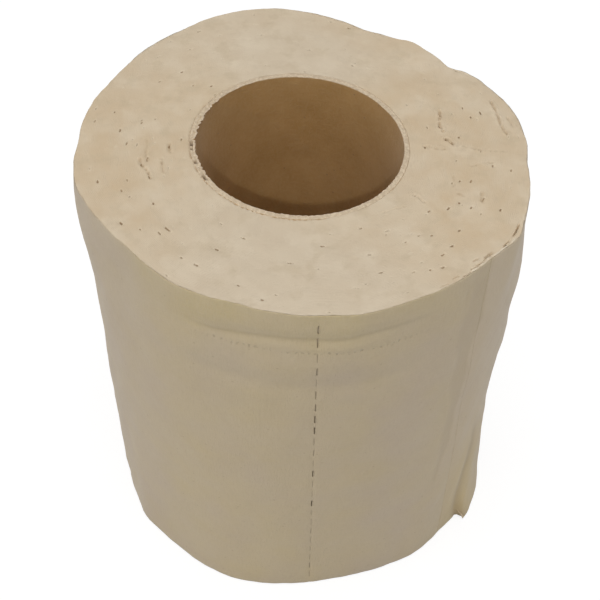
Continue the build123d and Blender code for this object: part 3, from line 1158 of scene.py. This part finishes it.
# %% The core tube
core_loop = np.stack(core_rings)
core_numbers = closed(closed(point_numbers(*core_loop.shape[:2])).T).T
seam, cut_edge, dark_spots = np.zeros((3, *core_loop.shape[:2]))
seam[:len(inner_levels)] = seam_share(core_directions, inner_levels[:, None])
rim_start = len(inner_levels)
cut_edge[rim_start - 1:rim_start + CUT_RINGS - 1] = 1.0
cut_edge[rim_start + CUT_RINGS - 1] = 0.5
cut_edge[rim_start + PLY_JOINT] = 1 - 0.55 * ply_crack
dark_spots[rim_start:][SPOT_RINGS] = gap_spots
core_tube = make_piece("core_tube", core_loop.reshape(-1, 3), grid_faces(core_numbers[::-1]), {
    "seam": seam.ravel(),
    "cut_edge": cut_edge.ravel(),
    "dark_spots": dark_spots.ravel(),
})

# %% [markdown]
# ## Shared effects
# Paper and board are both felted fibres, so one group of nodes makes the fibres for every
# material here: soft cloudy patches, short threads and single dark specks, each at its real
# size. It puts out masks and a height, and each material mixes its own colours with them.

# %% Helpers for the fibres
def new_group(name, inputs, outputs):
    """An empty shader node group with named sockets, and its two end nodes."""
    group = bpy.data.node_groups.new(name, "ShaderNodeTree")
    for socket_name, kind in inputs.items():
        group.interface.new_socket(socket_name, in_out="INPUT", socket_type=kind)
    for socket_name in outputs:
        group.interface.new_socket(socket_name, in_out="OUTPUT", socket_type="NodeSocketFloat")
    return group, new_node(group, "NodeGroupInput"), new_node(group, "NodeGroupOutput")


def times(tree, first, second):
    """The product of two sockets or numbers."""
    return math_node(tree, "MULTIPLY", first, second)


def weighted_sum(tree, *parts):
    """The sum of sockets, each times its weight."""
    total = 0.0
    for socket, weight in parts:
        total = math_node(tree, "MULTIPLY_ADD", socket, weight, total)
    return total


def noise_node(tree, place, scale, detail=2.0, roughness=0.5, stretch=(1, 1, 1)):
    """A Noise Texture at a place in millimetres, with crests about 1 / scale apart."""
    mapping = new_node(tree, "ShaderNodeMapping", {"Vector": place, "Scale": stretch})
    return new_node(tree, "ShaderNodeTexNoise", {
        "Vector": mapping.outputs[0], "Scale": scale, "Detail": detail, "Roughness": roughness,
    }).outputs["Fac"]


print("group helpers are ready")

# %% Group: felted fibres
tree, ins, outs = new_group(
    "Felted fibres", {"Place": "NodeSocketVector", "Cloud Size": "NodeSocketFloat"},
    ("Clouds", "Threads", "Specks", "Height"))
fibre_group, spot = tree, ins.outputs["Place"]
cloud = noise_node(tree, spot, math_node(tree, "DIVIDE", 1.0, ins.outputs["Cloud Size"]), 4.0)
along = noise_node(tree, spot, 1.3, 2.0, 0.6, (0.35, 1.6, 1.0))
across = noise_node(tree, spot, 1.1, 2.0, 0.6, (1.7, 0.4, 1.0))
threads = ramp_node(tree, math_node(tree, "MAXIMUM", along, across), 0.45, 0.78)
cells = new_node(tree, "ShaderNodeTexVoronoi", {"Vector": spot, "Scale": 0.33})
feed(tree, outs, {
    "Clouds": ramp_node(tree, cloud, 0.32, 0.68),
    "Threads": threads,
    "Specks": ramp_node(tree, cells.outputs["Distance"], 0.05, 0.09, 1.0, 0.0),
    "Height": weighted_sum(tree, (noise_node(tree, spot, 3.2), 0.5), (threads, 0.5)),
})
print("group", fibre_group.name, "has", len(tree.nodes), "nodes")

# %% [markdown]
# Tissue is creped: on the machine a blade pushes it off a hot cylinder into tiny folds that run
# across the web, about two or three a millimetre. One group makes them, with the row of dots
# that joins the plies under the rim.

# %% Group: crepe and ply dots
DOT_PITCH = 1.2

tree, ins, outs = new_group("Crepe", {"Sheet Place": "NodeSocketVector"}, ("Folds", "Dots"))
crepe_group, spot = tree, ins.outputs["Sheet Place"]
coarse = noise_node(tree, spot, 1.0, stretch=(2.2, 0.45, 1.0))
fine = noise_node(tree, spot, 1.0, stretch=(5.0, 1.2, 1.0))
parts = new_node(tree, "ShaderNodeSeparateXYZ", {0: spot})
cycle = weighted_sum(
    tree, (noise_node(tree, spot, 0.5), 9.0), (parts.outputs["X"], 2 * pi / DOT_PITCH))
dash = ramp_node(tree, math_node(tree, "SINE", cycle), 0.25, 0.85)
sway = ramp_node(tree, noise_node(tree, spot, 0.7, 1.0), 0.3, 0.7, -0.35, 0.35)
row_level = math_node(tree, "ADD", sway, DOT_ROW_LEVEL)
from_row = math_node(tree, "ABSOLUTE", math_node(tree, "SUBTRACT", parts.outputs["Y"], row_level))
in_row = ramp_node(tree, from_row, 0.15, 0.50, 1.0, 0.0)
uneven = ramp_node(tree, noise_node(tree, spot, 0.55, 4.0, 0.7), 0.40, 0.62)
feed(tree, outs, {
    "Folds": weighted_sum(tree, (coarse, 0.6), (fine, 0.4)),
    "Dots": times(tree, times(tree, dash, in_row), uneven),
})
print("group", crepe_group.name, "has", len(tree.nodes), "nodes")

# %% [markdown]
# ## Materials
# Unbleached tissue is a warm beige, quite matte, with a little cloudiness from thick and thin
# places. The colour starts from two near tones, and a table lays further ones on it: for each, a
# mask, how much of it counts, and the colour there. The masks come from the fibres and the crepe,
# and from the mesh for the crease, the darker band, the sheet's start and the pucker. Some paint
# shade: the crepe's low places, a line along the crease, the pucker's valley and the dent in the
# band. The warm tint of the loose foot is painted light that comes through the thin paper.
# Roughness stays a plain high number, because loose fibres have no gloss that would vary.

# %% Helpers for materials
def new_material(name, roughness, specular, sheen=0.0):
    """A material with a Principled surface, its node tree and that surface."""
    material = bpy.data.materials.new(name)
    material.use_nodes = True
    surface = material.node_tree.nodes["Principled BSDF"]
    feed(material.node_tree, surface, {
        "Roughness": roughness, "Specular IOR Level": specular, "Sheen Weight": sheen})
    return material, material.node_tree, surface


def dress(pieces, material, surface, tone, height, depth, strength):
    """Gives a material its colour and fine height, of a depth in mm, and pieces the material."""
    tree = material.node_tree
    fine = new_node(tree, "ShaderNodeBump", {
        "Height": height, "Distance": depth * MM, "Strength": strength})
    feed(tree, surface, {"Base Color": tone, "Normal": fine.outputs["Normal"]})
    for piece in pieces:
        piece.data.materials.append(material)
    print("material", material.name, "with", len(tree.nodes), "nodes")


def attribute(tree, name, output="Fac"):
    """A value stored in the mesh, read by its name."""
    return new_node(tree, "ShaderNodeAttribute", attribute_name=name).outputs[output]


def fibres_at(tree, spot, cloud_size):
    """The outputs of the fibre group at a place in millimetres."""
    return new_node(
        tree, "ShaderNodeGroup", {"Place": spot, "Cloud Size": cloud_size},
        node_tree=fibre_group).outputs


def crepe_at(tree, spot):
    """The outputs of the crepe group at a place on the flat sheet."""
    return new_node(
        tree, "ShaderNodeGroup", {"Sheet Place": spot}, node_tree=crepe_group).outputs


def mix_colour(tree, amount, first, second):
    """A Mix node for colours: the second one covers the first by an amount from 0 to 1."""
    return new_node(
        tree, "ShaderNodeMix", {"Factor": amount, "A": first, "B": second},
        data_type="RGBA").outputs["Result"]


def tinted(tree, tone, tints):
    """A colour under further colours, each laid on where its mask is, at a share of it."""
    for mask, share, colour in tints:
        tone = mix_colour(tree, times(tree, mask, share), tone, colour)
    return tone


def object_place(tree):
    """Where a point is on the object, in millimetres."""
    spot = new_node(tree, "ShaderNodeTexCoord").outputs["Object"]
    return new_node(
        tree, "ShaderNodeVectorMath", {0: spot, "Scale": 1 / MM}, operation="SCALE").outputs[0]


print("material helpers are ready")

# %% Tissue of the side
TISSUE_LIGHT = (0.66, 0.55, 0.39)
TISSUE_DARK = (0.60, 0.485, 0.33)
GREYISH_TISSUE = (0.605, 0.492, 0.362)
YELLOW_TISSUE = (0.640, 0.515, 0.288)

tissue, tree, surface = new_material("tissue_side", 0.92, 0.15, 0.22)
sheet_spot = attribute(tree, "sheet_place", "Vector")
fibres = fibres_at(tree, sheet_spot, 11.0)
crepe = crepe_at(tree, sheet_spot)
patches = ramp_node(
    tree, noise_node(tree, sheet_spot, 0.09, 3.0, 0.6, (0.7, 1.6, 1.0)), 0.25, 0.75, -0.22, 0.22)
warmth = math_node(tree, "ADD", attribute(tree, "warmth"), patches)
press_share = attribute(tree, "press_share")
# painted shade: a dark line drawn along the crease under the rim, where its fold lies in shade
from_crease = math_node(tree, "ABSOLUTE", attribute(tree, "crease_offset"))
painted_crease_shade = times(tree, ramp_node(tree, from_crease, 0.10, 0.90, 1.0, 0.0), press_share)
dots = times(tree, crepe["Dots"], press_share)
tone = tinted(tree, mix_colour(tree, warmth, GREYISH_TISSUE, YELLOW_TISSUE), (
    (fibres["Clouds"], 0.38, TISSUE_LIGHT),
    (fibres["Threads"], 0.25, (0.70, 0.60, 0.43)),
    # painted shade: the crepe's low places are drawn darker, as if shaded by its tiny folds
    (ramp_node(tree, crepe["Folds"], 0.36, 0.50, 1.0, 0.0), 0.14, (0.50, 0.405, 0.27)),
    (painted_crease_shade, 0.30, (0.44, 0.35, 0.21)),
    # a band beside the free edge, drawn darker than the sheet around it
    (attribute(tree, "darker_band"), 0.40, (0.54, 0.43, 0.30)),
    (attribute(tree, "sheet_start"), 0.35, (0.68, 0.56, 0.44)),
    # painted light coming through the thin loose foot
    (attribute(tree, "painted_through_light"), 0.36, (0.66, 0.515, 0.30)),
    # painted shade in the pucker's valley, in the dent under the rim and under the opened slits
    (attribute(tree, "valley_shade"), 0.55, (0.44, 0.33, 0.19)),
    (dots, 0.48, (0.40, 0.31, 0.18)),
    (fibres["Specks"], 0.3, (0.40, 0.28, 0.16)),
))
relief = weighted_sum(tree, (crepe["Folds"], 0.7), (fibres["Height"], 0.3), (dots, -0.8))
dress((outer_sheet, turn_below), tissue, surface, tone, relief, 0.26, 0.75)

# %% [markdown]
# A single loose ply is thinner than the rest, and light comes through it, so it looks warmer than
# the sheet behind it. True translucency would cost render time for a piece this small, so the
# ply's own mask tints it instead, and its far edge, curled up to the light, stays pale.

# %% Tissue of the loose ply
single_ply, tree, surface = new_material("single_ply", 0.92, 0.15, 0.3)
sheet_spot = attribute(tree, "sheet_place", "Vector")
clouds = fibres_at(tree, sheet_spot, 7.0)["Clouds"]
tone = tinted(tree, mix_colour(tree, clouds, TISSUE_DARK, TISSUE_LIGHT), (
    (attribute(tree, "painted_through_light"), 0.7, (0.66, 0.50, 0.31)),
))
folds = crepe_at(tree, sheet_spot)["Folds"]
dress((loose_corner,), single_ply, surface, tone, folds, 0.18, 0.9)

# %% [markdown]
# The ends show the cut edges of some seventy turns. They are too fine to model one by one, but
# the mesh knows how many turns in each point lies, so a cosine of that count draws a soft line for
# each turn, and noise stretched along the turns blurs them into the crushed, velvety streaks
# that a log saw leaves. A slit's mark is painted dark and ragged, as shade in its open pit, with
# a thin painted highlight round it for its lips.

# %% Streaks and marks of the ends
RING_STRETCH = 14.0
TURN_STRETCH = 0.30

tissue_end, tree, surface = new_material("tissue_end", 0.95, 0.12)
spot = object_place(tree)
fibres = fibres_at(tree, spot, 6.0)
count = attribute(tree, "turn_count")
flat_spot = new_node(tree, "ShaderNodeVectorMath", {0: spot, 1: (1, 1, 0)}, operation="MULTIPLY")
heading = new_node(
    tree, "ShaderNodeVectorMath", {0: flat_spot.outputs[0]}, operation="NORMALIZE")
heading_parts = new_node(tree, "ShaderNodeSeparateXYZ", {0: heading.outputs[0]})
ring_spot = new_node(tree, "ShaderNodeCombineXYZ", {
    "X": times(tree, heading_parts.outputs["X"], RING_STRETCH),
    "Y": times(tree, heading_parts.outputs["Y"], RING_STRETCH),
    "Z": times(tree, count, TURN_STRETCH),
})
streaks = noise_node(tree, ring_spot.outputs[0], 1.0, 3.0, 0.6)
turn_line = ramp_node(tree, math_node(tree, "COSINE", times(tree, count, 2 * pi)), 0.2, 1.0)
turn_line = times(tree, turn_line, ramp_node(tree, streaks, 0.40, 0.70))
mark = attribute(tree, "slit_mark")
ragged_mark = math_node(
    tree, "ADD", mark, ramp_node(tree, noise_node(tree, spot, 2.6), 0.3, 0.7, -0.18, 0.18))
# painted shade: the open pit of each slit's mark is drawn nearly black
painted_mark_shade = times(
    tree, ramp_node(tree, ragged_mark, 0.20, 0.60), ramp_node(tree, mark, 0.02, 0.2))
# painted highlight: a thin pale ring round each mark stands for light on its lips
painted_lip_highlight = math_node(
    tree, "SUBTRACT", ramp_node(tree, mark, 0.02, 0.14), ramp_node(tree, mark, 0.16, 0.30))
print("the turns' streaks and the marks have", len(tree.nodes), "nodes")

# %% Tissue of the ends
PALE_END = (0.665, 0.550, 0.405)
WARM_END = (0.650, 0.505, 0.335)

pale = ramp_node(tree, noise_node(tree, spot, 0.13, 3.0, 0.55), 0.50, 0.66)
dull = ramp_node(tree, noise_node(tree, spot, 0.21, 3.0, 0.6, (1.0, 1.0, 7.0)), 0.53, 0.66)
tone = tinted(tree, mix_colour(tree, attribute(tree, "warm_side"), PALE_END, WARM_END), (
    (ramp_node(tree, streaks, 0.3, 0.7), 0.16, (0.80, 0.70, 0.55)),
    (fibres["Clouds"], 0.40, (0.76, 0.655, 0.50)),
    (pale, 0.40, (0.78, 0.67, 0.515)),
    (dull, 0.34, (0.58, 0.47, 0.32)),
    (turn_line, 0.10, (0.48, 0.37, 0.24)),
    (painted_lip_highlight, 0.35, (0.82, 0.72, 0.56)),
    (attribute(tree, "pale_fringe"), 0.50, (0.86, 0.77, 0.62)),
    # painted shade in the groove where the paper has drawn back from the core
    (attribute(tree, "core_groove_shade"), 0.45, (0.44, 0.32, 0.20)),
    (painted_mark_shade, 0.78, (0.22, 0.13, 0.06)),
    # painted shade in the gaps and the wrinkles
    (attribute(tree, "depth_shade"), 0.6, (0.34, 0.24, 0.14)),
))
relief = weighted_sum(tree, (streaks, 0.7), (fibres["Height"], 0.35), (turn_line, -0.35))
dress((upper_end, wound_turns), tissue_end, surface, tone, relief, 0.14, 0.8)

# %% [markdown]
# Core board is made of waste paper: browner, denser and a little smoother than tissue. The seam's
# mask darkens the strip's edge, and that of the cut edge shows the paler inside of the board where
# the saw went through it.

# %% Board of the core
BOARD_DARK = (0.480, 0.282, 0.098)
BOARD_LIGHT = (0.545, 0.330, 0.128)
SAWN_DARK = (0.60, 0.475, 0.33)
SAWN_LIGHT = (0.72, 0.590, 0.425)
DEEP_SHADE = (0.12, 0.075, 0.04)

board, tree, surface = new_material("core_board", 0.85, 0.25, 0.16)
spot = object_place(tree)
fibres = fibres_at(tree, spot, 8.0)
tone = tinted(tree, mix_colour(tree, fibres["Clouds"], BOARD_DARK, BOARD_LIGHT), (
    (fibres["Threads"], 0.25, (0.64, 0.46, 0.25)),
    (fibres["Specks"], 0.4, (0.25, 0.16, 0.09)),
    (attribute(tree, "seam"), 0.15, (0.38, 0.25, 0.12)),
))
sawn_patches = ramp_node(tree, noise_node(tree, spot, 1.4, 3.0, 0.6), 0.42, 0.62)
sawn = mix_colour(tree, sawn_patches, SAWN_DARK, SAWN_LIGHT)
tone = mix_colour(tree, attribute(tree, "cut_edge"), tone, sawn)
# painted shade: the gaps where the paper has drawn back from the board are drawn nearly black
tone = mix_colour(tree, attribute(tree, "dark_spots"), tone, DEEP_SHADE)
dress((core_tube,), board, surface, tone, fibres["Height"], 0.15, 0.7)

# %% [markdown]
# ## What each piece stands for
# The paper pieces together stand for the CAD's paper roll, and the tube for its core. All of
# them ride on the one body.

for piece in (outer_sheet, turn_below, loose_corner, upper_end, wound_turns):
    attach(piece, "root")
    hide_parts("paper_roll")
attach(core_tube, "root")
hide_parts("cardboard_core")

# %% Finish
bpy.context.view_layer.update()
